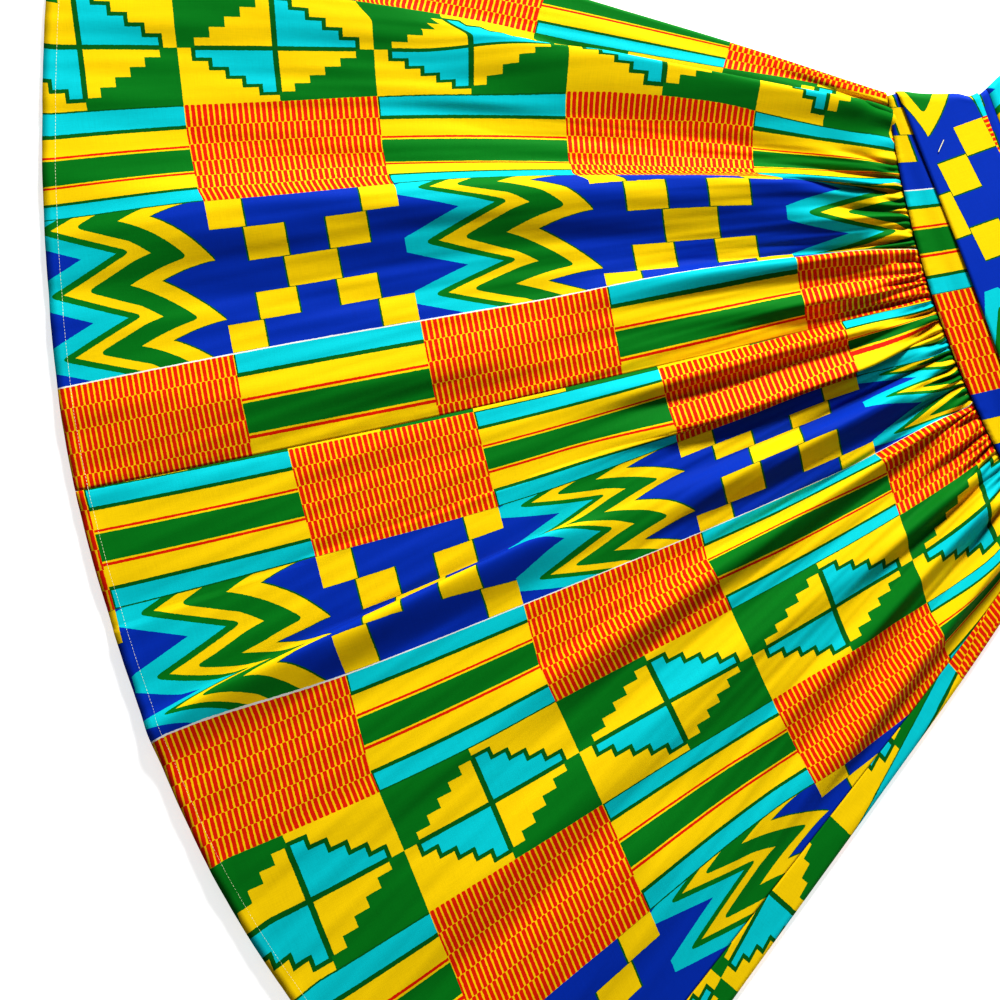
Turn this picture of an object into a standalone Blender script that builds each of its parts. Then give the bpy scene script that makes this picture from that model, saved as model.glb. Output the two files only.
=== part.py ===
"""Sleeveless wax print dress laid flat on its back: gathered flared skirt, waistband, bodice and belt.

Metres, +Z up. The dress rests on z = 0 with its neck toward +Y. The skirt is set out in polar form about a
point APEX above the waist, so that its grain, folds and side edges all fan out from there.
"""
import math

import bpy
import numpy as np

# ---- sizes, in metres unless said ----
WALL = 0.0015  # cloth wall
GAP = 0.0003  # between two pieces at a seam
TIP = 0.0005  # half the gap where front and back meet at a side edge
LAP = WALL + 2 * GAP  # from the middle of the waistband to the middle of the belt over it
FLOOR_MID = WALL / 2  # middle of a layer that rests on the floor
APEX = 0.25  # centre of the skirt's fan, above the waist line
WAIST_HALF = 0.190  # half width at the gather seam
WAIST_DIP, WAIST_SIDE = -0.0285, -0.0060  # height of the gather seam at the middle and at the sides
BELT_LOW, BELT_WIDTH = 0.002, 0.060
BAND_TOP = 0.070  # seam of waistband and bodice
TUBE = 0.0040  # roll of the cloth at the sides of the waist
SIDE = 0.0024  # roll at the left side of the skirt
WRAP = 0.0032  # roll at the right side, where the back panel comes round
OPEN_ROLL = 0.0017  # least roll, in the upper bodice
BULGE = 0.0025  # how far the front rises toward its middle
UNDERARM = 0.245
NECK_FRONT, NECK_BACK, NECK_HALF = 0.335, 0.405, 0.092
SHOULDER_IN, SHOULDER_OUT = 0.440, 0.418  # height of the shoulder at the neck and at the armhole
SHIFT_X, SHIFT_Y = 0.0062, 0.1493  # moves the middle of the dress's outline to the origin

# ---- outline tables ----
HEM = (  # angle from the middle, distance from the apex
    (-37.5, 1.004), (-30.0, 0.993), (-24.0, 0.984), (-17.0, 0.979), (-8.0, 0.981), (0.0, 0.984),
    (8.0, 0.993), (14.0, 1.001), (19.0, 1.006), (27.0, 1.012), (36.0, 1.016),
)
SIDES = (  # distance from the apex, left edge, right edge
    (0.315, -37.0, 37.1), (0.430, -37.3, 37.0), (0.550, -37.2, 36.5), (0.700, -37.1, 36.0), (1.020, -36.8, 35.4),
)
BACK_WRAP = 2.2  # degrees of the front that the back panel covers at the right
SEAM_HEM, SEAM_WAIST = -6.7, -5.1  # angle of the front seam
BODY = (  # height, half width of the closed part or of the armhole edge
    (-0.030, 0.1900), (0.004, 0.1880), (0.018, 0.1810), (0.033, 0.1750), (0.048, 0.1695), (0.055, 0.1650),
    (0.084, 0.1740), (0.140, 0.1960), (0.200, 0.2150), (0.245, 0.2230), (0.262, 0.2050), (0.290, 0.1830),
    (0.330, 0.1700), (0.380, 0.1650), (0.440, 0.1660),
)
FOLDS = (  # name, angle at hem, angle at waist, half width, height, lean to +x, starts and ends (distance)
    ("side roll", -30.9, -31.6, 3.3, 0.0115, -0.0150, 0.290, 0.840),
    ("left valley", -26.5, -27.0, 2.6, -0.0030, 0.0, 0.330, 0.700),
    ("second ridge", -21.5, -22.4, 2.6, 0.0060, 0.0, 0.300, 0.620),
    ("wide swell", -15.5, -17.5, 3.4, 0.0050, 0.0, 0.560, 1.040),
    ("ridge by the valley", -14.4, -14.6, 1.9, 0.0085, -0.0020, 0.285, 0.560),
    ("dark valley", -16.3, -16.4, 1.5, -0.0035, 0.0, 0.285, 0.540),
    ("left tube", -3.4, -2.8, 1.9, 0.0080, 0.0, 0.285, 0.600),
    ("right tube", 0.6, 0.7, 1.8, 0.0090, 0.0015, 0.285, 0.640),
    ("long fold", 4.3, 5.0, 1.8, 0.0095, -0.0060, 0.480, 1.060),
    ("inner valley", 10.2, 10.6, 2.2, -0.0030, 0.0, 0.300, 0.760),
    ("middle ridge", 13.8, 13.6, 2.1, 0.0080, 0.0, 0.285, 0.780),
    ("soft swell", 20.5, 20.0, 3.2, 0.0050, 0.0, 0.320, 0.960),
    ("right valley", 25.0, 25.0, 2.2, -0.0035, 0.0, 0.290, 0.640),
    ("right ridge", 28.4, 29.5, 2.4, 0.0075, 0.0, 0.285, 0.660),
    ("hem swell", 26.5, 26.0, 4.0, 0.0050, 0.0, 0.640, 1.080),
)
GATHER_PITCH, GATHER_HEIGHT = 4.7, 0.0022  # degrees from one gather to the next, half height

COLOURS = {  # name of the slot, colour of the cloth on the whole
    "print_skirt": (0.62, 0.42, 0.03, 1), "print_back": (0.55, 0.38, 0.04, 1),
    "print_band": (0.10, 0.16, 0.45, 1), "print_bodice": (0.12, 0.30, 0.30, 1), "print_belt": (0.03, 0.07, 0.50, 1),
}


def smooth(t):
    t = min(max(t, 0.0), 1.0)
    return t * t * (3 - 2 * t)


def bump(t):
    return 0.5 + 0.5 * math.cos(math.pi * t) if abs(t) < 1 else 0.0


def table(rows, x, column=1):
    """Smooth value of a column of a table at x, the first column."""
    xs = [row[0] for row in rows]
    ys = [row[column] for row in rows]
    if x <= xs[0] or x >= xs[-1]:
        return ys[0] if x <= xs[0] else ys[-1]
    i = max(k for k in range(len(xs) - 1) if xs[k] <= x)
    step = [(ys[k + 1] - ys[k]) / (xs[k + 1] - xs[k]) for k in range(len(xs) - 1)]
    tan = [step[0]] + [(step[k - 1] + step[k]) / 2 for k in range(1, len(step))] + [step[-1]]
    h = xs[i + 1] - xs[i]
    t = (x - xs[i]) / h
    return ((1 + 2 * t) * (1 - t) ** 2 * ys[i] + t * (1 - t) ** 2 * h * tan[i]
            + t * t * (3 - 2 * t) * ys[i + 1] + t * t * (t - 1) * h * tan[i + 1])


def seam_y(x):
    return WAIST_DIP + (WAIST_SIDE - WAIST_DIP) * (x / WAIST_HALF) ** 2


def waist_r(angle):
    """Distance from the apex to the gather seam."""
    r = 0.29
    for _ in range(6):
        x = r * math.sin(math.radians(angle))
        r = (APEX - seam_y(x)) / math.cos(math.radians(angle))
    return r


def ring_r(angle, f):
    """f runs from 0 at the hem to 1 at the gather seam, which keeps half a gap."""
    top = waist_r(angle) + GAP / 2
    return table(HEM, angle) + (top - table(HEM, angle)) * f


def polar(angle, r, z, across=0.0):
    a = math.radians(angle) + across / r
    return (r * math.sin(a), APEX - r * math.cos(a), z)


def floor_mid(y):
    """Middle of the back layer: it rises over the belt, which passes under it."""
    return FLOOR_MID + LAP * smooth((y + 0.012) / 0.012) * (1 - smooth((y - 0.066) / 0.020))


def tube_roll(y):
    return OPEN_ROLL + (TUBE - OPEN_ROLL) * (1 - smooth((y - 0.08) / 0.14))


def top_mid(x, y):
    """Middle of the front layer over the waist and the bodice."""
    half = table(BODY, y)
    rise = BULGE * (1 - min(abs(x) / half, 1.0) ** 2) ** 2
    return floor_mid(y) + 2 * tube_roll(y) + rise * (1 - smooth((y - 0.30) / 0.10))


def fold_height(angle, r, f):
    z = across = 0.0
    for _, at_hem, at_waist, half, height, lean, start, end in FOLDS:
        centre = at_hem + (at_waist - at_hem) * f
        reach = smooth((r - start) / 0.09) * smooth((end - r) / 0.16)
        b = bump((angle - centre) / half) * reach
        z += height * b
        across += lean * b
    phase = angle / GATHER_PITCH + 0.30 * math.sin(0.23 * angle + 0.6)
    gather = smooth((f - 0.72) / 0.18) * (1 - 0.75 * smooth((f - 0.95) / 0.05))
    return z + GATHER_HEIGHT * gather * math.cos(2 * math.pi * phase), across


def front_point(angle, f, edge):
    """A point of the skirt's front; edge is its distance in angle from the nearer side edge."""
    r = ring_r(angle, f)
    x, y, _ = polar(angle, r, 0)
    z, across = fold_height(angle, r, f)
    ends = smooth(edge / 2.2)
    rest = FLOOR_MID + (2 * SIDE if angle < 0 else 2 * WRAP) + 0.0030 * smooth(edge / 5.0)
    z = rest + max(z * ends, -0.0032)
    seam = smooth((f - 0.93) / 0.07)
    z = z + (top_mid(x, y) - z) * 0.85 * seam
    return polar(angle, r, z, across * ends * (1 - smooth((f - 0.90) / 0.10)))


def cloth(name, grid, material):
    """A closed solid, WALL thick, about a grid of points; its columns run so that the normals point up."""
    p = np.array(grid, dtype=float) + np.array((SHIFT_X, SHIFT_Y, 0.0))
    rows, cols = p.shape[:2]
    du = np.gradient(p, axis=1)
    dv = np.gradient(p, axis=0)
    n = np.cross(du, dv)
    n /= np.linalg.norm(n, axis=2, keepdims=True)
    top, bottom = p + n * WALL / 2, p - n * WALL / 2
    verts = [tuple(v) for v in np.concatenate((top.reshape(-1, 3), bottom.reshape(-1, 3)))]
    k = rows * cols
    faces = []
    for i in range(rows - 1):
        for j in range(cols - 1):
            a, b, c, d = i * cols + j, i * cols + j + 1, (i + 1) * cols + j + 1, (i + 1) * cols + j
            faces.append((a, b, c, d))
            faces.append((a + k, d + k, c + k, b + k))
    rim = ([i for i in range(cols)] + [i * cols + cols - 1 for i in range(1, rows)]
           + [(rows - 1) * cols + j for j in range(cols - 2, -1, -1)] + [i * cols for i in range(rows - 2, 0, -1)])
    for a, b in zip(rim, rim[1:] + rim[:1]):
        faces.append((a, a + k, b + k, b))
    mesh = bpy.data.meshes.new(name)
    mesh.from_pydata(verts, [], faces)
    mesh.update()
    finish(name, mesh, material)


def finish(name, mesh, material):
    body = bpy.data.objects.new(name, mesh)
    bpy.context.scene.collection.objects.link(body)
    slot = bpy.data.materials.get(material)
    if slot is None:
        slot = bpy.data.materials.new(material)
        slot.use_nodes = True
        shader = slot.node_tree.nodes["Principled BSDF"]
        shader.inputs["Base Color"].default_value = COLOURS[material]
        shader.inputs["Roughness"].default_value = 0.75
        slot.diffuse_color = COLOURS[material]
    mesh.materials.append(slot)


def ring_fractions(count):
    """Closer together toward the waist, where the gathers are."""
    return [1 - (1 - i / count) ** 1.35 for i in range(count + 1)]


def skirt_front():
    rows = ring_fractions(13)
    half_gap = math.degrees(GAP / 2 / 0.6)
    for name, first, count in (("skirt_front_left", True, 40), ("skirt_front_right", False, 50)):
        grid = []
        for f in rows:
            seam = SEAM_HEM + (SEAM_WAIST - SEAM_HEM) * f
            r = ring_r(-37 if first else 36, f)
            left, right = table(SIDES, r, 1), table(SIDES, r, 2) - BACK_WRAP
            line = []
            if first:
                roll = SIDE
                inner = left + math.degrees(roll / r)
                tip = math.asin(TIP / roll)
                for k in range(3):
                    t = tip + (math.pi / 2 - tip) * k / 3
                    line.append(polar(left, ring_r(left, f), FLOOR_MID + roll + roll * math.sin(t),
                                      roll * (1 - math.cos(t))))
                low, high = inner, seam - half_gap
            else:
                low, high = seam + half_gap, right - math.degrees(GAP / 2 / r)
            for i in range(count + 1):
                angle = low + (high - low) * i / count
                edge = angle - low if first else high - angle
                line.append(front_point(angle, f, max(edge, 0.0)))
            grid.append(line)
        cloth(name, grid, "print_skirt")


def skirt_back():
    grid = []
    for f in (0.0, 0.16, 0.34, 0.52, 0.68, 0.82, 0.92, 0.97, 1.0):
        r = ring_r(36, f)
        left, right = table(SIDES, r, 1), table(SIDES, r, 2)
        line = []
        tip = math.asin(TIP / SIDE)
        for k in range(3):
            t = tip + (math.pi / 2 - tip) * k / 3
            line.append(polar(left, ring_r(left, f), FLOOR_MID + SIDE - SIDE * math.sin(t),
                              SIDE * (1 - math.cos(t))))
        low = left + math.degrees(SIDE / ring_r(left, f))
        high = right - math.degrees(WRAP / ring_r(right, f))
        for i in range(23):
            angle = low + (high - low) * i / 22
            r = ring_r(angle, f)
            line.append(polar(angle, r, FLOOR_MID))
        for a in (30.0, 60.0, 90.0, 120.0, 150.0, 180.0):
            t = math.radians(a)
            line.append(polar(high, ring_r(right, f), FLOOR_MID + WRAP * (1 - math.cos(t)), WRAP * math.sin(t)))
        end = right - BACK_WRAP + math.degrees(GAP / 2 / ring_r(right, f))
        for i in (1, 2, 3):
            angle = high + (end - high) * i / 3
            r = ring_r(angle, f)
            x, y, _ = polar(angle, r, 0)
            z = FLOOR_MID + 2 * WRAP
            z += (top_mid(x, y) - z) * 0.85 * smooth((f - 0.93) / 0.07)
            line.append(polar(angle, r, z))
        # the columns run against the front's, so that the wall's outer side faces out
        grid.append(line[::-1])
    cloth("skirt_back", grid, "print_back")


def tube_line(y_at, count, upper, sides=1.0):
    """Half of the body's section, from left to right; y_at gives the height for each place across."""
    line = []
    spots = [(-1.0, k) for k in range(3)] + [(-1 + 2 * i / count, 3) for i in range(count + 1)]
    spots += [(1.0, 2 - k) for k in range(3)]
    for s, k in spots:
        y = y_at(s)
        half, roll = table(BODY, y), tube_roll(y)
        t = math.asin(TIP / roll)
        t += (math.pi / 2 - t) * k / 3
        x = s * (half - roll + (roll * math.cos(t) if abs(s) == 1.0 else 0.0))
        y = y_at(x / half)
        z = roll * (1 - math.sin(t)) * sides
        z = top_mid(x, y) - z if upper else floor_mid(y) + z
        line.append((x, y, z))
    return line


def waistband():
    for name, upper in (("waistband_front", True), ("waistband_back", False)):
        grid = []
        for f in (0.0, 0.33, 0.66, 1.0, 1.25, 1.5, 1.75, 2.0, 3.0):
            def y_at(s, f=f):
                low = seam_y(s * WAIST_HALF) + GAP / 2
                flat = BELT_LOW - GAP * 2
                if f <= 1:
                    return low + (flat - low) * f
                top = BELT_LOW + BELT_WIDTH + GAP * 2
                return flat + (top - flat) * (f - 1) if f <= 2 else BAND_TOP - GAP / 2
            grid.append(tube_line(y_at, 18, upper))
        cloth(name, grid if upper else [row[::-1] for row in grid], "print_band")


def bodice():
    for name, upper, neck in (("bodice_front", True, NECK_FRONT), ("bodice_back", False, NECK_BACK)):
        grid = []
        for f in (0.0, 0.06, 0.14, 0.24, 0.36, 0.46, 0.50, 0.56, 0.66, 0.78, 0.90, 1.0):
            def y_at(s, f=f, neck=neck):
                low = BAND_TOP + GAP / 2
                a = min(abs(s), 1.0)
                inner = NECK_HALF / 0.166
                if a < inner:
                    top = neck + (SHOULDER_IN - neck) * (1 - math.sqrt(max(1 - (a / inner) ** 2.4, 0.0)))
                else:
                    top = SHOULDER_IN + (SHOULDER_OUT - SHOULDER_IN) * (a - inner) / (1 - inner)
                return low + (top - low) * f
            sides = 1 - smooth((y_at(1.0) - UNDERARM + 0.010) / 0.015)
            grid.append(tube_line(y_at, 26, upper, sides))
        cloth(name, grid if upper else [row[::-1] for row in grid], "print_bodice")


def belt():
    """One closed loop of strip round the waistband."""
    heights = [BELT_LOW + BELT_WIDTH * i / 4 for i in range(5)]
    loops = []
    for y in heights:
        half, roll = table(BODY, y) - TUBE, TUBE + LAP
        loop = []
        for i in range(19):
            x = -half + 2 * half * i / 18
            loop.append((x, y, FLOOR_MID))
        for a in (30.0, 60.0, 90.0, 120.0, 150.0):
            t = math.radians(a)
            loop.append((half + roll * math.sin(t), y, FLOOR_MID + roll * (1 - math.cos(t))))
        for i in range(19):
            x = half - 2 * half * i / 18
            rise = BULGE * (1 - min(abs(x) / (half + TUBE), 1.0) ** 2) ** 2
            loop.append((x, y, FLOOR_MID + 2 * roll + rise))
        for a in (30.0, 60.0, 90.0, 120.0, 150.0):
            t = math.radians(a)
            loop.append((-half - roll * math.sin(t), y, FLOOR_MID + roll * (1 + math.cos(t))))
        loops.append(loop)
    p = np.array(loops) + np.array((SHIFT_X, SHIFT_Y, 0.0))
    rows, cols = p.shape[:2]
    du = np.roll(p, -1, axis=1) - np.roll(p, 1, axis=1)
    n = np.cross(du, np.array((0.0, 1.0, 0.0)))
    n /= np.linalg.norm(n, axis=2, keepdims=True)
    outer, inner = p + n * WALL / 2, p - n * WALL / 2
    k = rows * cols
    faces = []
    for j in range(cols):
        m = (j + 1) % cols
        for i in range(rows - 1):
            a, b, c, d = i * cols + j, i * cols + m, (i + 1) * cols + m, (i + 1) * cols + j
            faces.append((a, b, c, d))
            faces.append((a + k, d + k, c + k, b + k))
        faces.append((j, j + k, m + k, m))
        last = (rows - 1) * cols
        faces.append((last + j, last + m, last + m + k, last + j + k))
    mesh = bpy.data.meshes.new("belt")
    mesh.from_pydata([tuple(v) for v in np.concatenate((outer.reshape(-1, 3), inner.reshape(-1, 3)))], [], faces)
    mesh.update()
    finish("belt", mesh, "print_belt")


for old in list(bpy.data.objects):
    bpy.data.objects.remove(old, do_unlink=True)
skirt_front()
skirt_back()
waistband()
bodice()
belt()
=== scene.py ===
"""The looks of a wax print dress laid flat: printed cotton with folds, gathers, stitches and stage.

The print's places are held in the UV map "cloth": metres along the grain and metres across it.
"""
import math

import bpy
import numpy as np
from bpy.props import FloatProperty, FloatVectorProperty, IntProperty, PointerProperty
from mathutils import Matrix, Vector


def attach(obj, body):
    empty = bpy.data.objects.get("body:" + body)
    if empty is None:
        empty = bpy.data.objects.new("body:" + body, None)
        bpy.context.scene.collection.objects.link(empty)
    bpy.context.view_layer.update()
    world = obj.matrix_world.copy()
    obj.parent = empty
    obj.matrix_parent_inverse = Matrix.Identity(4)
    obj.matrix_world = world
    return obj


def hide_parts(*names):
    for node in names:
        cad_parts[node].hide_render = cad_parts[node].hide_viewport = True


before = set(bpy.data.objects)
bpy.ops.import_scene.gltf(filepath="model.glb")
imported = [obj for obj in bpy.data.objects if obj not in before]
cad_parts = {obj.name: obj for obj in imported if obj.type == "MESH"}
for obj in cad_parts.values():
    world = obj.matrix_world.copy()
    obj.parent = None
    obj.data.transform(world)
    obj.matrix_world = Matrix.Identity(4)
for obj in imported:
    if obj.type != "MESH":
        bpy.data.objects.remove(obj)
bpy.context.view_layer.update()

bl_info = {
    "name": "Wax Print Dress",
    "version": (1, 0, 0),
    "blender": (4, 5, 0),
    "location": "View3D > Sidebar > Dress",
    "description": "Builds a wax print dress laid flat, its print, its stitches and its stage",
    "category": "Add Mesh",
}

# ---------------------------------------------------------------- sizes, in metres unless said
# The dress is laid out with its waist near the origin, the skirt toward -y and the neck toward +y.
# Places on the skirt are an angle in degrees and a distance from the apex, where its flare would meet.
CLOTH = 0.0008  # thickness of the shown cloth
TIP = 0.0005  # how far a rolled side's open edge stays from the roll's own middle
APEX = 0.25  # height of the flare's apex above the waist
WAIST_HALF = 0.190  # half of the waist, flat
WAIST_DIP, WAIST_SIDE = -0.0285, -0.0060  # height of the waist seam in the middle and at the sides
BELT_LOW, BELT_WIDTH = 0.002, 0.060
BAND_TOP = 0.070  # where the waistband ends and the bodice starts
TUBE, OPEN_ROLL = 0.0040, 0.0017  # radius of the sides' roll, at the waist and by the armholes
SIDE, WRAP = 0.0024, 0.0032  # radius of the skirt's left and right roll
LAP = 0.0021  # room for the belt over the waistband
FLOOR_MID = 0.00075  # middle of the cloth that lies on the surface
BULGE = 0.0025  # how much the front stands higher in the middle
UNDERARM = 0.245
NECK_FRONT, NECK_BACK, NECK_HALF = 0.335, 0.405, 0.092
SHOULDER_IN, SHOULDER_OUT = 0.440, 0.418
SHIFT_X, SHIFT_Y = 0.0062, 0.1493  # from this layout to the frame
BACK_WRAP = 2.2  # degrees of the back panel that come round to the front
JOIN_X, JOIN_SLANT = -0.0277, 0.159  # the join in the waistband: its place at the waist, and its slant
SEAM_HEM, SEAM_WAIST = -6.7, -5.1  # angle of the front seam
TURNED_UP = 0.0105  # width of the hem
SKIRT_SIDE = 37.0  # angle of the skirt's sides, about

HEM = (  # angle from the middle, distance from the apex
    (-37.5, 1.004), (-30.0, 0.993), (-24.0, 0.984), (-17.0, 0.979), (-8.0, 0.981), (0.0, 0.984),
    (8.0, 0.993), (14.0, 1.001), (19.0, 1.006), (27.0, 1.012), (36.0, 1.016),
)
SIDES = (  # distance from the apex, left edge, right edge
    (0.315, -37.0, 37.1), (0.430, -37.3, 37.0), (0.550, -37.2, 36.5), (0.700, -37.1, 36.0),
    (1.020, -36.8, 35.4),
)
BODY = (  # height, half width
    (-0.030, 0.1900), (0.004, 0.1880), (0.018, 0.1810), (0.033, 0.1750), (0.048, 0.1695), (0.055, 0.1650),
    (0.084, 0.1740), (0.140, 0.1960), (0.200, 0.2150), (0.245, 0.2230), (0.262, 0.2050), (0.290, 0.1830),
    (0.330, 0.1700), (0.380, 0.1650), (0.440, 0.1660),
)
FOLDS = (  # name, angle at hem, angle at waist, half width, height, lean to +x, starts, ends (distance)
    ("side roll", -30.6, -30.3, 2.7, 0.0120, -0.0240, 0.230, 0.700),
    ("side swell", -31.5, -31.5, 3.6, 0.0060, -0.0060, 0.560, 0.980),
    ("left valley", -26.3, -26.4, 2.0, -0.0042, 0.0, 0.330, 0.760),
    ("fifth ridge", -28.0, -27.6, 1.5, 0.0060, 0.0, 0.265, 0.450),
    ("second ridge", -18.3, -22.2, 3.9, 0.0125, -0.0070, 0.300, 1.000),
    ("crest by the waist", -23.6, -23.8, 1.5, 0.0080, 0.0020, 0.262, 0.470),
    ("sixth ridge", -18.6, -18.6, 1.6, 0.0075, 0.0, 0.262, 0.460),
    ("dark valley", -15.2, -15.3, 1.5, -0.0050, 0.0, 0.270, 0.560),
    ("ridge by the valley", -12.6, -13.0, 1.8, 0.0105, -0.0040, 0.262, 0.600),
    ("fourth ridge", -8.6, -8.8, 1.8, 0.0080, 0.0020, 0.265, 0.520),
    ("wide swell", -9.5, -9.5, 3.4, 0.0055, 0.0, 0.560, 1.040),
    ("left tube", -6.0, -3.2, 1.7, 0.0120, 0.0, 0.262, 0.620),
    ("right tube", -0.7, -0.6, 1.9, 0.0130, 0.0120, 0.262, 0.600),
    ("third ridge", 4.0, 7.8, 2.3, 0.0120, -0.0040, 0.262, 0.620),
    ("long fold", 5.4, 5.3, 1.5, 0.0110, -0.0120, 0.560, 1.060),
    ("inner valley", 8.0, 13.0, 1.4, -0.0045, 0.0, 0.270, 0.620),
    ("middle ridge", 13.8, 13.3, 2.0, 0.0115, -0.0030, 0.265, 0.760),
    ("soft swell", 20.5, 20.0, 3.2, 0.0075, 0.0, 0.320, 0.960),
    ("seventh ridge", 21.0, 22.0, 1.6, 0.0075, 0.0, 0.265, 0.520),
    ("eighth ridge", 26.4, 26.4, 1.7, 0.0085, 0.0, 0.265, 0.620),
    ("right valley", 28.8, 29.4, 1.5, -0.0045, 0.0, 0.290, 0.640),
    ("right ridge", 31.4, 32.0, 1.9, 0.0100, 0.0020, 0.265, 0.660),
    ("hem swell", 26.5, 26.0, 4.0, 0.0070, 0.0, 0.640, 1.080),
)
# The print: its bands and one block's length, then where each line of it lies on the two front panels,
# as an angle at each of six distances from the apex.
STATIONS = (0.98, 0.80, 0.62, 0.46, 0.36, 0.29)
BAND_D, BAND_A, BAND_B, BAND_C = 0.106, 0.111, 0.106, 0.135
REPEAT = BAND_D + BAND_A + BAND_B + BAND_C
BLOCK = 0.1515
LEFT_START, LEFT_GRAIN = 0.9870, 9.0  # where a block's edge lies by the hem, and the grain's angle
RIGHT_START, RIGHT_GRAIN = 0.9600, 5.5
LEFT_LINES = (  # name, place across the cloth, angle at each station
    ("D", 0.0, (-37.4, -38.6, -39.6, -40.4, -40.6, -40.6)),
    ("D/A", BAND_D, (-30.7, -32.0, -33.2, -34.4, -35.8, -36.2)),
    ("A/B", BAND_D + BAND_A, (-24.5, -26.2, -28.4, -29.1, -28.8, -28.8)),
    ("B cyan ends", BAND_D + BAND_A + 0.0175, (-23.3, -25.0, -26.9, -28.35, -28.35, -28.35)),
    ("B green ends", BAND_D + BAND_A + 0.0636, (-21.0, -22.4, -23.5, -24.2, -25.0, -25.6)),
    ("B/C", REPEAT - BAND_C, (-19.4, -20.2, -21.8, -22.5, -22.8, -24.0)),
    ("C upper row", REPEAT - 0.108, (-17.8, -18.6, -20.3, -22.2, -22.5, -23.6)),
    ("C lower row", REPEAT - 0.027, (-13.1, -13.8, -14.7, -14.3, -14.7, -14.0)),
    ("C/D", REPEAT, (-11.6, -12.2, -12.8, -13.6, -14.0, -13.3)),
    ("seam", REPEAT + 0.082, (-6.7, -6.2, -5.6, -5.3, -5.3, -5.0)),
)
RIGHT_LINES = (
    ("B", BAND_D + BAND_A, (-6.7, -6.2, -5.6, -5.3, -5.3, -5.0)),
    ("B green starts", REPEAT - BAND_C - 0.067, (-4.6, -3.8, -3.0, -2.8, -2.7, -2.6)),
    ("B green ends", REPEAT - BAND_C - 0.042, (-3.2, -2.3, -1.4, -1.2, -1.9, -1.6)),
    ("B/C", REPEAT - BAND_C, (-0.9, 0.1, 1.3, 1.6, 2.0, 4.0)),
    ("C second row", REPEAT - 0.081, (2.3, 3.8, 4.2, 4.5, 5.5, 7.6)),
    ("C third row", REPEAT - 0.054, (4.0, 4.45, 5.4, 6.7, 7.8, 9.4)),
    ("C fourth row", REPEAT - 0.027, (4.6, 5.4, 6.9, 9.0, 10.4, 11.2)),
    ("C/D", REPEAT, (5.7, 6.9, 8.4, 10.4, 12.0, 12.9)),
    ("D/A", REPEAT + BAND_D, (11.9, 13.7, 15.4, 18.0, 20.0, 21.6)),
    ("A/B", REPEAT + BAND_D + BAND_A, (19.0, 20.6, 23.2, 27.3, 31.0, 31.2)),
    ("B/C", 2 * REPEAT - BAND_C, (26.5, 27.9, 30.5, 35.4, 36.0, 36.0)),
    ("end", 2 * REPEAT, (35.2, 35.8, 38.0, 39.0, 40.0, 40.0)),
)
# The stage: what the view is centred on and turned by, the width it takes in, and its lens in millimetres.
VIEW_X, VIEW_Y, VIEW_TURN, VIEW_WIDTH = 0.008, -0.408, 70.0, 0.8
LENS, SENSOR = 80.0, 36.0
LAMPS = (  # name, toward the view's right, toward its top, height, size, power in watts
    ("key", 0.8, 3.1, 1.75, 0.8, 192.0),
    ("fill", 1.4, -0.9, 2.4, 2.4, 5.0),
)


# ---------------------------------------------------------------- small maths, on numbers or arrays
def smooth(t):
    """0 to 1 with soft ends, as t goes from 0 to 1."""
    t = np.clip(t, 0.0, 1.0)
    return t * t * (3 - 2 * t)


def bump(t):
    """A soft hump, 1 at t = 0 and 0 from t = 1 or -1 on."""
    return np.where(np.abs(t) < 1, 0.5 + 0.5 * np.cos(np.pi * np.clip(t, -1, 1)), 0.0)


def spline(xs, ys, x):
    """Smooth value at x through rising xs; each y may be an array."""
    x = np.asarray(x, float)
    xs = np.asarray(xs, float)
    ys = [np.asarray(y, float) for y in ys]
    step = [(ys[k + 1] - ys[k]) / (xs[k + 1] - xs[k]) for k in range(len(xs) - 1)]
    tan = [step[0]] + [(step[k - 1] + step[k]) / 2 for k in range(1, len(step))] + [step[-1]]
    x = np.clip(x, xs[0], xs[-1])
    out = np.zeros(np.broadcast(x, ys[0]).shape)
    for k in range(len(xs) - 1):
        h = xs[k + 1] - xs[k]
        t = (x - xs[k]) / h
        here = (x >= xs[k]) & ((x < xs[k + 1]) | (k == len(xs) - 2))
        value = ((1 + 2 * t) * (1 - t) ** 2 * ys[k] + t * (1 - t) ** 2 * h * tan[k]
                 + t * t * (3 - 2 * t) * ys[k + 1] + t * t * (t - 1) * h * tan[k + 1])
        out = np.where(here, value, out)
    return out


def table(rows, x, column=1):
    """A column of a table as a smooth curve over its first column."""
    return spline([row[0] for row in rows], [row[column] for row in rows], x)


def wobble(x, seed=0.0):
    """A smooth, uneven wave between about -1 and 1."""
    return (np.sin(x + seed) + 0.6 * np.sin(2.17 * x + 1.7 * seed + 1.3)
            + 0.4 * np.sin(3.91 * x + 2.9 * seed + 0.4)) / 2.0


# ---------------------------------------------------------------- the dress's form
def seam_y(x):
    """Height of the waist seam, which dips in the middle."""
    return WAIST_DIP + (WAIST_SIDE - WAIST_DIP) * (x / WAIST_HALF) ** 2


def waist_r(angle):
    """Distance from the apex to the waist seam."""
    a = np.radians(angle)
    r = np.full(np.shape(a), 0.29)
    for _ in range(6):
        r = (APEX - seam_y(r * np.sin(a))) / np.cos(a)
    return r


def ring_r(angle, f):
    """Distance from the apex at share f of the way from hem to waist."""
    hem = table(HEM, angle)
    return hem + (waist_r(angle) + 0.0002 - hem) * f


def polar(angle, r, z, across=0.0):
    """Points from an angle and a distance, moved a little along the ring."""
    a = np.radians(angle) + across / r
    return np.stack(np.broadcast_arrays(r * np.sin(a), APEX - r * np.cos(a), z), axis=-1)


def floor_mid(y):
    """Middle of the lowest cloth, which the belt lifts at the waist."""
    return FLOOR_MID + LAP * smooth((y + 0.012) / 0.012) * (1 - smooth((y - 0.066) / 0.020))


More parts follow.
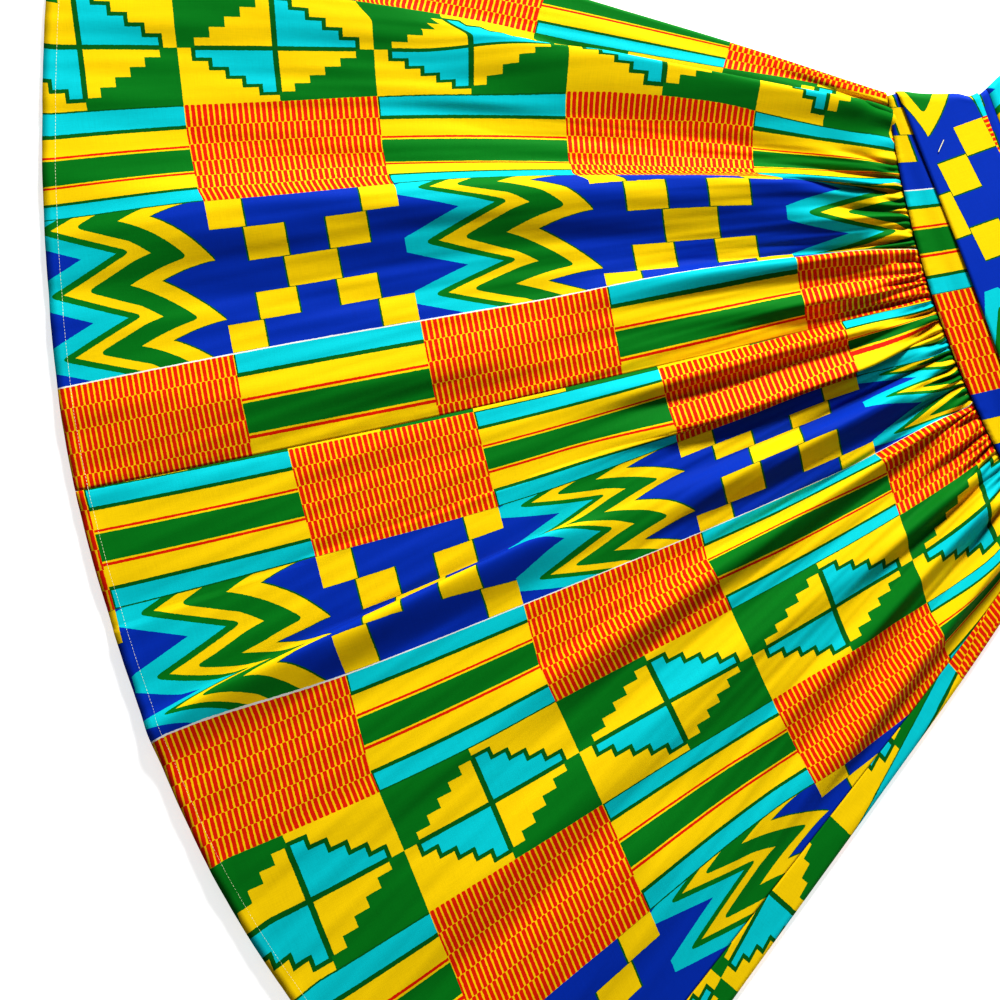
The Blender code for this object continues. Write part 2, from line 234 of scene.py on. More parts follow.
def tube_roll(y):
    """Radius of the roll at the sides of waistband and bodice."""
    return OPEN_ROLL + (TUBE - OPEN_ROLL) * (1 - smooth((y - 0.08) / 0.14))


def top_mid(x, y):
    """Middle of the front cloth from the waist up."""
    half = table(BODY, y)
    rise = BULGE * (1 - np.minimum(np.abs(x) / half, 1.0) ** 2) ** 2
    return floor_mid(y) + 2 * tube_roll(y) + rise * (1 - smooth((y - 0.30) / 0.10))


def gathers(angle, f, r):
    """Pleats that fan out of the waist seam: puffs with tight gaps, uneven in place, depth and length."""
    puff, groove, aside, step = 0.0032, 0.0066, 0.0013, 0.98
    gone = r - waist_r(angle)
    z = puff * smooth(gone / 0.006) * smooth((0.085 - gone) / 0.075)
    z = z * np.ones(np.broadcast(angle, f).shape)
    across = np.zeros_like(z)
    place, number = -SKIRT_SIDE, 0
    while place < SKIRT_SIDE:
        k = number * 1.618
        minor = number % 2
        depth = (groove + 0.0016 * math.sin(2.3 * k + 0.4)) * (0.55 if minor else 1.0)
        length = 0.060 + 0.034 * math.sin(4.7 * k + 2.0) + (0.085 if number % 5 == 2 else 0.0)
        length = length * (0.6 if minor else 1.0)
        part = gone / length
        centre = place + 1.1 * math.sin(5.3 * k + 0.7) * part
        narrow = 0.31 + 0.50 * np.clip(part, 0, 1.2)
        off = (angle - centre) / narrow
        near = smooth(1.05 - part) * (0.35 + 0.65 * smooth(gone / 0.005))
        z = z - depth * near * np.exp(-off ** 2)
        across = across + aside * math.sin(7.1 * k) * near * np.exp(-(off / 2) ** 2)
        place += step + 0.34 * math.sin(3.1 * k) * math.sin(1.3 * k + 1)
        number += 1
    return z, across


def fold_height(angle, r, f):
    """Height of all named folds together, and how far they lean along the ring."""
    z = np.zeros(np.broadcast(angle, r).shape)
    across = np.zeros_like(z)
    for _, at_hem, at_waist, half, height, lean, start, end in FOLDS:
        centre = at_hem + (at_waist - at_hem) * f
        reach = smooth((r - start) / 0.09) * smooth((end - r) / 0.16)
        b = bump((angle - centre) / half) * reach
        z = z + height * b
        across = across + lean * b
    return z, across


def front_point(angle, f, edge):
    """Points of the front cloth; edge is how many degrees each is from the side."""
    r = ring_r(angle, f)
    flat = polar(angle, r, 0.0)
    x, y = flat[..., 0], flat[..., 1]
    z, across = fold_height(angle, r, f)
    ends = smooth(edge / 2.2)
    rest = FLOOR_MID + np.where(angle < 0, 2 * SIDE, 2 * WRAP) + 0.0030 * smooth(edge / 5.0)
    z = rest + np.maximum(z * ends, -0.0032)
    # slow waves of a soft cloth, and tiny creases from handling
    slow = 0.0012 * wobble(angle * 0.75 + 5 * r, 0.3) + 0.0006 * wobble(angle * 1.7 - 13 * r, 1.1)
    z = z + (slow + 0.00022 * wobble(angle * 3.1 - 31 * r, 1.9)) * ends
    seam = smooth((f - 0.945) / 0.055)
    z = z + (top_mid(x, y) - 0.0012 - z) * 0.92 * seam
    pleats, aside = gathers(angle, f, r)
    return polar(angle, r, z + pleats * ends, (across + aside) * ends), r


def cloth_v(angle, r, lines):
    """Place across the cloth, from the table of band lines."""
    rows = list(reversed(STATIONS))
    at = [spline(rows, list(reversed(row[2])), r) for row in lines]
    places = [row[1] for row in lines]
    v = np.full(np.shape(at[0]), 0.0) + places[0]
    for k in range(len(lines) - 1):
        share = (angle - at[k]) / (at[k + 1] - at[k])
        inside = share >= 0 if k else np.ones(np.shape(share), bool)
        v = np.where(inside, places[k] + share * (places[k + 1] - places[k]), v)
    return v


def cloth_u(angle, r, left):
    """Place along the cloth, counted from a block's edge near the hem toward the waist."""
    if left:
        along = r * np.cos(np.radians(angle + LEFT_GRAIN))
        panel = LEFT_START - along - 0.0012 * np.maximum(-angle - 24, 0)
        # left of the long valley the cloth has slid toward the hem
        slid = 0.003 + 0.055 * np.maximum(0.70 - r, 0)
        panel = panel + slid * smooth(-20.2 - 5.7 * (0.87 - r) - angle + 0.5)
        # and is drawn in by the gathers over the side roll
        panel = panel + 0.40 * np.maximum(0.42 - r, 0) * smooth((-27.5 - angle) / 1.5)
        # behind that roll it has slid a little along itself
        behind = smooth((-31.2 - angle) / 1.6) * smooth((0.80 - r) / 0.08)
        return panel + (1.0519 - 0.988 * r - panel) * behind
    along = r * np.cos(np.radians(angle + RIGHT_GRAIN)) + 0.0022 * np.maximum(angle - 12, 0)
    drawn_in = 0.009 * np.maximum(angle - 14, 0) * np.maximum(0.62 - r, 0)
    return RIGHT_START - along + 0.10 * np.maximum(along - 0.83, 0) + drawn_in


# ---------------------------------------------------------------- meshes
def shell(name, points, uv, thickness=CLOTH, closed=False):
    """A closed thin shell about a grid of points, with the UV map "cloth"."""
    p = np.asarray(points, float) + np.array((SHIFT_X, SHIFT_Y, 0.0))
    rows, cols = p.shape[:2]
    if closed:
        du = np.roll(p, -1, axis=1) - np.roll(p, 1, axis=1)
    else:
        du = np.gradient(p, axis=1)
    dv = np.gradient(p, axis=0)
    n = np.cross(du, dv)
    n /= np.linalg.norm(n, axis=2, keepdims=True)
    top, under = p + n * thickness / 2, p - n * thickness / 2
    verts = np.concatenate((top.reshape(-1, 3), under.reshape(-1, 3)))
    k = rows * cols
    i, j = np.meshgrid(np.arange(rows - 1), np.arange(cols if closed else cols - 1), indexing="ij")
    m = (j + 1) % cols
    a, b, c, d = i * cols + j, i * cols + m, (i + 1) * cols + m, (i + 1) * cols + j
    outer = np.stack((a, b, c, d), -1).reshape(-1, 4)
    inner = np.stack((a, d, c, b), -1).reshape(-1, 4) + k
    if closed:
        j = np.arange(cols)
        m = (j + 1) % cols
        last = (rows - 1) * cols
        rim = np.concatenate((np.stack((j, j + k, m + k, m), -1),
                              np.stack((last + j, last + m, last + m + k, last + j + k), -1)))
    else:
        ring = np.concatenate((np.arange(cols), np.arange(1, rows) * cols + cols - 1,
                               (rows - 1) * cols + np.arange(cols - 2, -1, -1),
                               np.arange(rows - 2, 0, -1) * cols))
        after = np.roll(ring, -1)
        rim = np.stack((ring, ring + k, after + k, after), -1)
    faces = np.concatenate((outer, inner, rim))
    mesh = bpy.data.meshes.new(name)
    mesh.vertices.add(len(verts))
    mesh.vertices.foreach_set("co", verts.reshape(-1))
    mesh.loops.add(faces.size)
    mesh.loops.foreach_set("vertex_index", faces.reshape(-1).astype(np.int32))
    mesh.polygons.add(len(faces))
    mesh.polygons.foreach_set("loop_start", np.arange(0, faces.size, 4, dtype=np.int32))
    mesh.update(calc_edges=True)
    mesh.validate()
    both = np.concatenate((np.asarray(uv, float).reshape(-1, 2),) * 2)
    layer = mesh.uv_layers.new(name="cloth")
    layer.data.foreach_set("uv", both[faces.reshape(-1)].reshape(-1))
    mesh.polygons.foreach_set("use_smooth", np.ones(len(faces), bool))
    piece = bpy.data.objects.new(name, mesh)
    bpy.context.scene.collection.objects.link(piece)
    return piece


def rows_toward_waist(count):
    """Rows from hem to waist, closer together toward the waist."""
    i = np.arange(count + 1) / count
    return 1 - (1 - i) ** 1.25


def skirt_front(name, first, columns, rows):
    """A front panel: the left one is first, and takes in the roll at its side."""
    f = rows_toward_waist(rows)[:, None]
    seam = SEAM_HEM + (SEAM_WAIST - SEAM_HEM) * f
    r = ring_r(-37.0 if first else 36.0, f)
    left, right = table(SIDES, r, 1), table(SIDES, r, 2) - BACK_WRAP
    t = np.arange(columns + 1)[None, :] / columns
    gap = 0.012
    if first:
        low, high = left + np.degrees(SIDE / r), seam - gap
        angle = low + (high - low) * t
        points, rr = front_point(angle, f, angle - low)
        tip = math.asin(TIP / SIDE)
        turn = tip + (math.pi / 2 - tip) * (np.arange(6)[None, :] / 6)
        rl = ring_r(left, f)
        start = points[:, :1, 2:3]
        arc = polar(left, rl, FLOOR_MID + SIDE + SIDE * np.sin(turn), SIDE * (1 - np.cos(turn)))
        lift = (start - (FLOOR_MID + 2 * SIDE)) * (np.sin(turn)[..., None] ** 2)
        arc[..., 2:3] += lift
        angle = np.concatenate((left + np.degrees(SIDE * (turn - math.pi / 2) / rl), angle), axis=1)
        rr = np.concatenate((rl * np.ones_like(turn), rr), axis=1)
        points = np.concatenate((arc, points), axis=1)
    else:
        low, high = seam + gap, right - 0.012
        angle = low + (high - low) * t
        points, rr = front_point(angle, f, high - angle)
    # the front seam pulls a shallow groove with small puckers
    near = np.abs(angle - seam) * np.pi / 180 * rr
    along = rr / 0.011
    pull = 0.0011 * np.exp(-(near / 0.0035) ** 2) + 0.0006 * np.exp(-(near / 0.012) ** 2) * (
        0.5 + 0.5 * np.sin(2 * np.pi * along + 1.5 * np.sin(along * 1.7)))
    # the hem is turned up: a slightly thicker strip with its line of stitches pulled in
    from_hem = table(HEM, angle) - rr
    past = from_hem - TURNED_UP
    hem = 0.0005 * (1 - smooth(past / 0.002)) - 0.0004 * np.exp(-(past / 0.0012) ** 2)
    points[..., 2] += hem - pull
    uv = np.stack((cloth_u(angle, rr, first), cloth_v(angle, rr, LEFT_LINES if first else RIGHT_LINES)), -1)
    return shell(name, points, uv)


def skirt_back(name, columns, rows):
    """The back panel, from the roll at the left to the strip that comes round at the right."""
    f = rows_toward_waist(rows)[:, None]
    r = ring_r(36.0, f)
    left, right = table(SIDES, r, 1), table(SIDES, r, 2)
    low, high = left + np.degrees(SIDE / ring_r(left, f)), right - np.degrees(WRAP / ring_r(right, f))
    tip = math.asin(TIP / SIDE)
    turn = tip + (math.pi / 2 - tip) * (np.arange(5)[None, :] / 5)
    rl, rh = ring_r(left, f), ring_r(right, f)
    parts, across = [], []
    parts.append(polar(left, rl, FLOOR_MID + SIDE - SIDE * np.sin(turn), SIDE * (1 - np.cos(turn))))
    across.append(np.radians(left) * rl + SIDE * (turn - math.pi / 2))
    angle = low + (high - low) * (np.arange(columns + 1)[None, :] / columns)
    parts.append(polar(angle, ring_r(angle, f), FLOOR_MID - 0.0002))
    across.append(np.radians(angle) * ring_r(angle, f))
    turn = np.pi * np.arange(1, 13)[None, :] / 12
    parts.append(polar(high, rh, FLOOR_MID + WRAP * (1 - np.cos(turn)), WRAP * np.sin(turn)))
    across.append(np.radians(high) * rh + WRAP * turn)
    end = right - BACK_WRAP + 0.012
    angle = high + (end - high) * (np.arange(1, 13)[None, :] / 12)
    rr = ring_r(angle, f)
    flat = polar(angle, rr, 0.0)
    z = FLOOR_MID + 2 * WRAP + 0.0004 * wobble(rr * 26 + angle, 0.8)
    z = z + (top_mid(flat[..., 0], flat[..., 1]) - z) * 0.62 * smooth((f - 0.93) / 0.07)
    parts.append(polar(angle, rr, z))
    across.append(np.radians(2 * high - angle) * rr + WRAP * np.pi)
    points = np.concatenate(parts, axis=1)
    inner = np.radians(2 * high - end) * rh + WRAP * np.pi
    w = inner - np.concatenate(across, axis=1)
    v = BAND_D + BAND_A + w + 0.6 * np.minimum(w, 0.03) - 0.24 * (r - 0.447)
    u = 2 * BLOCK + 0.977 * (0.602 - np.broadcast_to(r, v.shape))
    uv = np.stack((u, v), -1)
    return shell(name, points[:, ::-1], uv[:, ::-1])


def tube_line(y_at, places, upper, sides=1.0, arc=6):
    """One line across the front or back of the waist or bodice, round to the open sides."""
    s = np.concatenate((np.full(arc, -1.0), places, np.full(arc, 1.0)))
    k = np.concatenate((np.arange(arc), np.full(len(places), arc), np.arange(arc - 1, -1, -1)))
    y = y_at(s)
    half, roll = table(BODY, y), tube_roll(y)
    t = np.arcsin(TIP / roll)
    t = t + (math.pi / 2 - t) * k / arc
    x = s * (half - roll + np.where(np.abs(s) == 1.0, roll * np.cos(t), 0.0))
    y = y_at(x / half)
    z = roll * (1 - np.sin(t)) * sides
    z = top_mid(x, y) - z if upper else floor_mid(y) - 0.0002 + z
    return np.stack((x, y, z), -1)


def waistband(name, upper):
    """The front or back of the waistband."""
    lines = []
    for f in np.linspace(0, 1, 25):
        def y_at(s, f=f):
            low = seam_y(s * WAIST_HALF) + 0.0002
            return low + (BAND_TOP - 0.0002 - low) * f
        # the band's two lengths of cloth meet at a seam that slants a little
        low = seam_y(JOIN_X)
        y = low + (BAND_TOP - low) * f
        join = (JOIN_X + JOIN_SLANT * (y - low)) / float(table(BODY, y) - tube_roll(y))
        places = np.linspace(-1, 1, 151)
        k = int(np.searchsorted(places, join))
        places[k - 1], places[k] = join - 0.0006, join + 0.0006
        lines.append(tube_line(y_at, places, upper))
    p = np.array(lines)
    if upper:
        drop = np.exp(-((p[..., 1] - seam_y(p[..., 0])) / 0.004) ** 2)
        p[..., 2] += 0.0004 * drop * np.sin(p[..., 0] * 900 + 2 * np.sin(p[..., 0] * 210)) - 0.0003 * drop
    rise = p[..., 1] - seam_y(p[..., 0])
    before = p[..., 0] - JOIN_X < JOIN_SLANT * rise
    x = p[..., 0] - np.clip(0.12 - 1.4 * p[..., 0], 0.12, 0.36) * rise
    v = np.where(before, REPEAT + (x + 0.1142) * 1.22, BAND_D + BAND_A + (x - JOIN_X) * 1.24)
    uv = np.stack((p[..., 1] + BLOCK + 0.062, v), -1)
    return shell(name, p if upper else p[:, ::-1], uv if upper else uv[:, ::-1])


def bodice(name, upper, neck):
    """The front or back of the bodice, with its neck at the given height."""
    lines = []
    for f in np.linspace(0, 1, 60):
        def y_at(s, f=f):
            low = BAND_TOP + 0.0002
            a = np.minimum(np.abs(s), 1.0)
            inner = NECK_HALF / 0.166
            arch = 1 - np.sqrt(np.maximum(1 - (a / inner) ** 2.4, 0.0))
            top = np.where(a < inner, neck + (SHOULDER_IN - neck) * arch,
                           SHOULDER_IN + (SHOULDER_OUT - SHOULDER_IN) * (a - inner) / (1 - inner))
            return low + (top - low) * f
        sides = 1 - smooth((y_at(np.array(1.0)) - UNDERARM + 0.010) / 0.015)
        lines.append(tube_line(y_at, np.linspace(-1, 1, 151), upper, sides))
    p = np.array(lines)
    if upper:
        x, y = p[..., 0], p[..., 1]
        inside = smooth((table(BODY, y) - np.abs(x)) / 0.03)
        p[..., 2] += 0.0009 * wobble(x * 24 + y * 9, 0.5) * inside * smooth((y - 0.08) / 0.05)
    uv = np.stack((p[..., 1] - 0.030, REPEAT - BAND_C + p[..., 0] + 0.200), -1)
    return shell(name, p if upper else p[:, ::-1], uv if upper else uv[:, ::-1])


def belt(name):
    """The belt, closed round the waist."""
    loops, uvs = [], []
    for f in np.linspace(0, 1, 21):
        y = BELT_LOW + BELT_WIDTH * f
        half, roll = float(table(BODY, y)) - TUBE, TUBE + LAP
        x = np.linspace(-half, half, 120)
        turn = np.pi * np.arange(1, 12) / 12
        rise = BULGE * (1 - np.minimum(np.abs(x[::-1]) / (half + TUBE), 1.0) ** 2) ** 2
        soft = 0.0006 * wobble(x[::-1] * 30 + f * 1.5, 2.1)
        px = np.concatenate((x, half + roll * np.sin(turn), x[::-1], -half - roll * np.sin(turn)))
        pz = np.concatenate((np.full(120, 0.0) - 0.00015, roll * (1 - np.cos(turn)), 2 * roll + rise + soft,
                             roll * (1 + np.cos(turn)))) + FLOOR_MID
        py = np.full(len(px), y) + 0.0028 * np.sin(px * 9 + 1.4) * (1 - f)
        loops.append(np.stack((px, py, pz), -1))
        across = np.concatenate((x + 1.3, half + roll * (np.pi - turn), x[::-1], -half - roll * turn))
        # the strip's length runs along the cloth, cut a little askew
        tilt = 0.11 * (np.clip(px, -0.2, 0.0) + 0.14)
        cut = REPEAT - BAND_C + (0.0585 + tilt - py) * 1.10
        uvs.append(np.stack((across * 1.15 + 0.1696 + BLOCK, cut), -1))
    return shell(name, np.array(loops), np.array(uvs), closed=True)


# ---------------------------------------------------------------- the print
INKS = ("yellow", "green", "deep", "cyan", "blue", "red", "white")


def linear(rgb):
    return [c / 12.92 if c <= 0.04045 else ((c + 0.055) / 1.055) ** 2.4 for c in rgb] + [1.0]


class Sums:
    """Writes a node tree's arithmetic as calls."""

    def __init__(self, tree):
        self.tree = tree

    def node(self, kind, **inputs):
        made = self.tree.nodes.new(kind)
        for key, value in inputs.items():
            self.put(made.inputs[key.replace("_", " ")], value)
        return made

    def put(self, socket, value):
        if isinstance(value, bpy.types.NodeSocket):
            self.tree.links.new(value, socket)
        else:
            socket.default_value = value

    def __call__(self, operation, *values):
        made = self.tree.nodes.new("ShaderNodeMath")
        made.operation = operation
        for socket, value in zip(made.inputs, values):
            self.put(socket, value)
        return made.outputs[0]

    def both(self, a, b):
        return self("MULTIPLY", a, b)

    def mix(self, share, a, b, blend="MIX"):
        made = self.tree.nodes.new("ShaderNodeMix")
        made.data_type = "RGBA"
        made.blend_type = blend
        self.put(made.inputs[0], share)
        self.put(made.inputs[6], a)
        self.put(made.inputs[7], b)
        return made.outputs[2]

    def ramp(self, value, stops):
        """Flat colours, each from its stop on."""
        made = self.tree.nodes.new("ShaderNodeValToRGB")
        made.color_ramp.interpolation = "CONSTANT"
        items = made.color_ramp.elements
        while len(items) < len(stops):
            items.new(0.5)
        for item, (place, colour) in zip(items, sorted(stops, key=lambda stop: stop[0])):
            item.position = place
            item.color = colour
        self.put(made.inputs[0], value)
        return made.outputs[0]


def print_group(inks):
    """Node group: cloth places in metres to the print's colour."""
    tree = bpy.data.node_groups.new("Strip print", "ShaderNodeTree")
    tree.interface.new_socket("Along", in_out="INPUT", socket_type="NodeSocketFloat")
    tree.interface.new_socket("Across", in_out="INPUT", socket_type="NodeSocketFloat")
    tree.interface.new_socket("Color", in_out="OUTPUT", socket_type="NodeSocketColor")
    start, end = tree.nodes.new("NodeGroupInput"), tree.nodes.new("NodeGroupOutput")
    m = Sums(tree)
    yellow, green, deep, cyan, blue, red, white = inks
    place = m.node("ShaderNodeCombineXYZ", X=start.outputs[0], Y=start.outputs[1]).outputs[0]
    # the ink's edges wander a little
    rough = m.node("ShaderNodeTexNoise", Vector=place, Scale=520.0, Detail=1.0)
    ragged = m.node("ShaderNodeSeparateXYZ", Vector=rough.outputs["Color"])
    along = m("ADD", start.outputs[0], m("MULTIPLY_ADD", ragged.outputs[0], 0.0007, -0.00035))
    across = m("ADD", start.outputs[1], m("MULTIPLY_ADD", ragged.outputs[1], 0.0007, -0.00035))
    block = m("DIVIDE", along, BLOCK)
    a = m("FRACT", block)
    odd = m("MULTIPLY", m("FRACT", m("MULTIPLY", m("FLOOR", block), 0.5)), 2.0)
    t = m("MULTIPLY", m("FRACT", m("DIVIDE", across, REPEAT)), REPEAT)
    in_a = m.both(m("GREATER_THAN", t, BAND_D), m("LESS_THAN", t, BAND_D + BAND_A))
    past_a = m("GREATER_THAN", t, BAND_D + BAND_A)
    in_c = m("GREATER_THAN", t, REPEAT - BAND_C)

    # stripes and basket share one width
    b = m("DIVIDE", m("SUBTRACT", t, m("MULTIPLY", past_a, BAND_D + BAND_A)), BAND_B)
    stripes = m.ramp(b, [(0.0, deep), (0.010, cyan), (0.150, deep), (0.183, yellow), (0.340, red),
                         (0.362, yellow), (0.378, green), (0.600, yellow), (0.616, red), (0.638, yellow),
                         (0.809, deep), (0.842, cyan), (0.985, deep)])
    by_side = m("GREATER_THAN", m("ABSOLUTE", m("SUBTRACT", b, 0.5)), 0.32)
    stripes = m.mix(m.both(m("LESS_THAN", a, 0.008), by_side), stripes, deep)
    row = m("MULTIPLY", b, 6.0)
    shift = m("FRACT", m("MULTIPLY", m("FLOOR", row), 0.5))
    strip = m("ABSOLUTE", m("SUBTRACT", m("FRACT", m("MULTIPLY_ADD", a, 33.0, shift)), 0.5))
    ends = m("ABSOLUTE", m("SUBTRACT", m("FRACT", row), 0.5))
    narrow = m("MULTIPLY_ADD", m("MAXIMUM", m("SUBTRACT", ends, 0.46), 0.0), -3.0, 0.335)
    warm = m.mix(0.10, yellow, red)
    basket = m.mix(m("LESS_THAN", strip, narrow), warm, red)
    is_basket = m("ABSOLUTE", m("SUBTRACT", odd, m("SUBTRACT", 1.0, past_a)))
    colour = m.mix(is_basket, stripes, basket)

    # stepped diamonds
    b = m("DIVIDE", m("SUBTRACT", t, BAND_D), BAND_A)
    x0, y0 = m("SUBTRACT", a, 0.5), m("SUBTRACT", b, 0.5)
    x = m("MULTIPLY", m("ABSOLUTE", x0), 2.45)
    y = m("MULTIPLY", m("ABSOLUTE", y0), 2.45)
    plain = m("GREATER_THAN", m.both(x0, y0), 0.0)

    def stairs(x, y):
        step = m("DIVIDE", m("FLOOR", m("MULTIPLY", x, 5.0)), 5.0)
        return m.both(m("LESS_THAN", y, m("SUBTRACT", 1.0, step)), m("LESS_THAN", x, 1.0))

    inner = stairs(x, y)
    outer = stairs(m("MAXIMUM", m("SUBTRACT", x, 0.054), 0.0), m("MAXIMUM", m("SUBTRACT", y, 0.078), 0.0))
    ground = m.mix(plain, yellow, green)
    fancy = m.mix(m("MULTIPLY", outer, m("SUBTRACT", 1.0, plain)), ground, deep)
    fancy = m.mix(inner, fancy, m.mix(plain, cyan, yellow))
    cross = m("MAXIMUM", m.both(m("LESS_THAN", x, 0.035), m("LESS_THAN", y, 1.0)),
              m.both(m("LESS_THAN", y, 0.047), m("LESS_THAN", x, 1.0)))
    fancy = m.mix(cross, fancy, deep)
    colour = m.mix(in_a, colour, fancy)

    # zigzags: parallel bands whose teeth lean more and shorten toward the far end
    b = m("DIVIDE", m("SUBTRACT", t, REPEAT - BAND_C), BAND_C)
    phase = m("FRACT", m("DIVIDE", m("SUBTRACT", b, 0.062), 0.388))
    late = m("MAXIMUM", m("SUBTRACT", a, 0.57), 0.0)
    share = m("MULTIPLY_ADD", late, 0.70, 0.50)
    falls = m("DIVIDE", m("SUBTRACT", 1.0, phase), m("SUBTRACT", 1.0, share))
    tooth = m("MINIMUM", m("DIVIDE", phase, share), falls)
    reach = m("MULTIPLY_ADD", late, -0.24, 0.40)
    level = m("MULTIPLY_ADD", m("SUBTRACT", a, m("MULTIPLY", tooth, reach)), 0.5, 0.5)
    zig = m.ramp(level, [(0.0, blue), (0.451, cyan), (0.566, yellow), (0.851, deep), (0.856, blue)])

    def corner(far):
        rest = m("MAXIMUM", m("MULTIPLY_ADD", far, -13.0, 1.0), 0.0)
        return m("MULTIPLY", m("POWER", rest, 3.0), 0.012)

    # the green bands' corners are rounded
    heel = m("ABSOLUTE", m("SUBTRACT", m("FRACT", m("ADD", phase, 0.5)), 0.5))
    back = m("SUBTRACT", level, corner(heel))
    front = m("ADD", level, corner(m("ABSOLUTE", m("SUBTRACT", phase, share))))
    for first, last in ((0.547, 0.588), (0.650, 0.767)):
        zig = m.mix(m.both(m("GREATER_THAN", back, first), m("LESS_THAN", front, last)), zig, green)

    # squares set as an X
    row = m("MULTIPLY", b, 5.0)
    arm = m("ABSOLUTE", m("SUBTRACT", m("FLOOR", row), 2.0))
    out = m("ABSOLUTE", m("SUBTRACT", a, 0.5))
    near, far = m("MULTIPLY_ADD", arm, 0.200, -0.090), m("MULTIPLY_ADD", arm, 0.182, 0.140)
    square = m.both(m("GREATER_THAN", out, near), m("LESS_THAN", out, far))
    edged = m.both(m("GREATER_THAN", out, m("SUBTRACT", near, 0.009)),
                   m("LESS_THAN", out, m("ADD", far, 0.009)))
    border = m("GREATER_THAN", m("ABSOLUTE", m("SUBTRACT", m("FRACT", row), 0.5)), 0.488)
    check = m.mix(edged, blue, deep)
    check = m.mix(m.both(square, m("SUBTRACT", 1.0, border)), check, yellow)
    colour = m.mix(in_c, colour, m.mix(odd, zig, check))
    colour = m.mix(m("LESS_THAN", t, 0.0012), colour, white)
    tree.links.new(colour, end.inputs[0])
    return tree


def weave_group():
    """Node group: plain weave as a height, and the threads' unevenness as a shade."""
    tree = bpy.data.node_groups.new("Cotton weave", "ShaderNodeTree")
    tree.interface.new_socket("Along", in_out="INPUT", socket_type="NodeSocketFloat")
    tree.interface.new_socket("Across", in_out="INPUT", socket_type="NodeSocketFloat")
    tree.interface.new_socket("Height", in_out="OUTPUT", socket_type="NodeSocketFloat")
    tree.interface.new_socket("Shade", in_out="OUTPUT", socket_type="NodeSocketFloat")
    start, end = tree.nodes.new("NodeGroupInput"), tree.nodes.new("NodeGroupOutput")
    m = Sums(tree)
    pitch = 2 * math.pi / 0.0006
    warp = m("SINE", m("MULTIPLY", start.outputs[0], pitch))
    weft = m("SINE", m("MULTIPLY", start.outputs[1], pitch))
    tree.links.new(m("MULTIPLY_ADD", m.both(warp, weft), 0.5, 0.5), end.inputs[0])
    long_way = m.node("ShaderNodeCombineXYZ", X=m("MULTIPLY", start.outputs[0], 60.0),
                      Y=m("MULTIPLY", start.outputs[1], 1500.0)).outputs[0]
    cross_way = m.node("ShaderNodeCombineXYZ", X=m("MULTIPLY", start.outputs[0], 1500.0),
                       Y=m("MULTIPLY", start.outputs[1], 60.0)).outputs[0]
    one = m.node("ShaderNodeTexNoise", Vector=long_way, Scale=1.0, Detail=2.0).outputs[0]
    two = m.node("ShaderNodeTexNoise", Vector=cross_way, Scale=1.0, Detail=2.0).outputs[0]
    tree.links.new(m("MULTIPLY", m("ADD", one, two), 0.5), end.inputs[1])
    return tree


def cotton(name, look, groups):
    """Printed cotton, with shade painted into its colour deep in folds and overlaps."""
    material = bpy.data.materials.new(name)
    material.use_nodes = True
    tree = material.node_tree
    m = Sums(tree)
    shader = tree.nodes["Principled BSDF"]
    shader.inputs["Roughness"].default_value = look.roughness
    shader.inputs["Sheen Weight"].default_value = look.sheen
    shader.inputs["Sheen Roughness"].default_value = 0.45
    shader.inputs["Specular IOR Level"].default_value = 0.10
    places = tree.nodes.new("ShaderNodeUVMap")
    places.uv_map = "cloth"
    parts = m.node("ShaderNodeSeparateXYZ", Vector=places.outputs[0])
    pattern, weave = tree.nodes.new("ShaderNodeGroup"), tree.nodes.new("ShaderNodeGroup")
    pattern.node_tree, weave.node_tree = groups
    for group in (pattern, weave):
        tree.links.new(parts.outputs[0], group.inputs[0])
        tree.links.new(parts.outputs[1], group.inputs[1])
    shade = m.node("ShaderNodeMapRange", Value=weave.outputs[1], From_Min=0.35, From_Max=0.65, To_Min=0.93,
                   To_Max=1.03).outputs[0]
    grey = m.node("ShaderNodeCombineXYZ", X=shade, Y=shade, Z=shade).outputs[0]
    colour = m.mix(1.0, pattern.outputs[0], grey, "MULTIPLY")
    # painted shade: deep in folds and overlaps, found by ambient occlusion, the base colour is darkened and
    # tinted warm, standing in for cloth there being lit only by warm light from the cloth beside it
    fold_shade_ao = m.node("ShaderNodeAmbientOcclusion", Distance=0.012)
    fold_shade_ao.samples = 4
    # painted shade: how strongly the fold shade is painted into the colour at this point
    depth = m.node("ShaderNodeMapRange", Value=fold_shade_ao.outputs["AO"], From_Min=0.30, From_Max=0.92, To_Min=1.0,
                   To_Max=0.0).outputs[0]
    # painted shade: the warm dark tint that the colour is pulled toward in folds
    colour = m.mix(depth, colour, m.mix(1.0, colour, (0.56, 0.40, 0.36, 1), "MULTIPLY"))
    tree.links.new(colour, shader.inputs["Base Color"])
    raised = m.node("ShaderNodeBump", Height=weave.outputs[0], Strength=0.25, Distance=0.0001)
    tree.links.new(raised.outputs[0], shader.inputs["Normal"])
    return material


def plain_material(name, colour, roughness):
    """One colour with no pattern."""
    material = bpy.data.materials.new(name)
    material.use_nodes = True
    shader = material.node_tree.nodes["Principled BSDF"]
    shader.inputs["Base Color"].default_value = colour
    shader.inputs["Roughness"].default_value = roughness
    return material


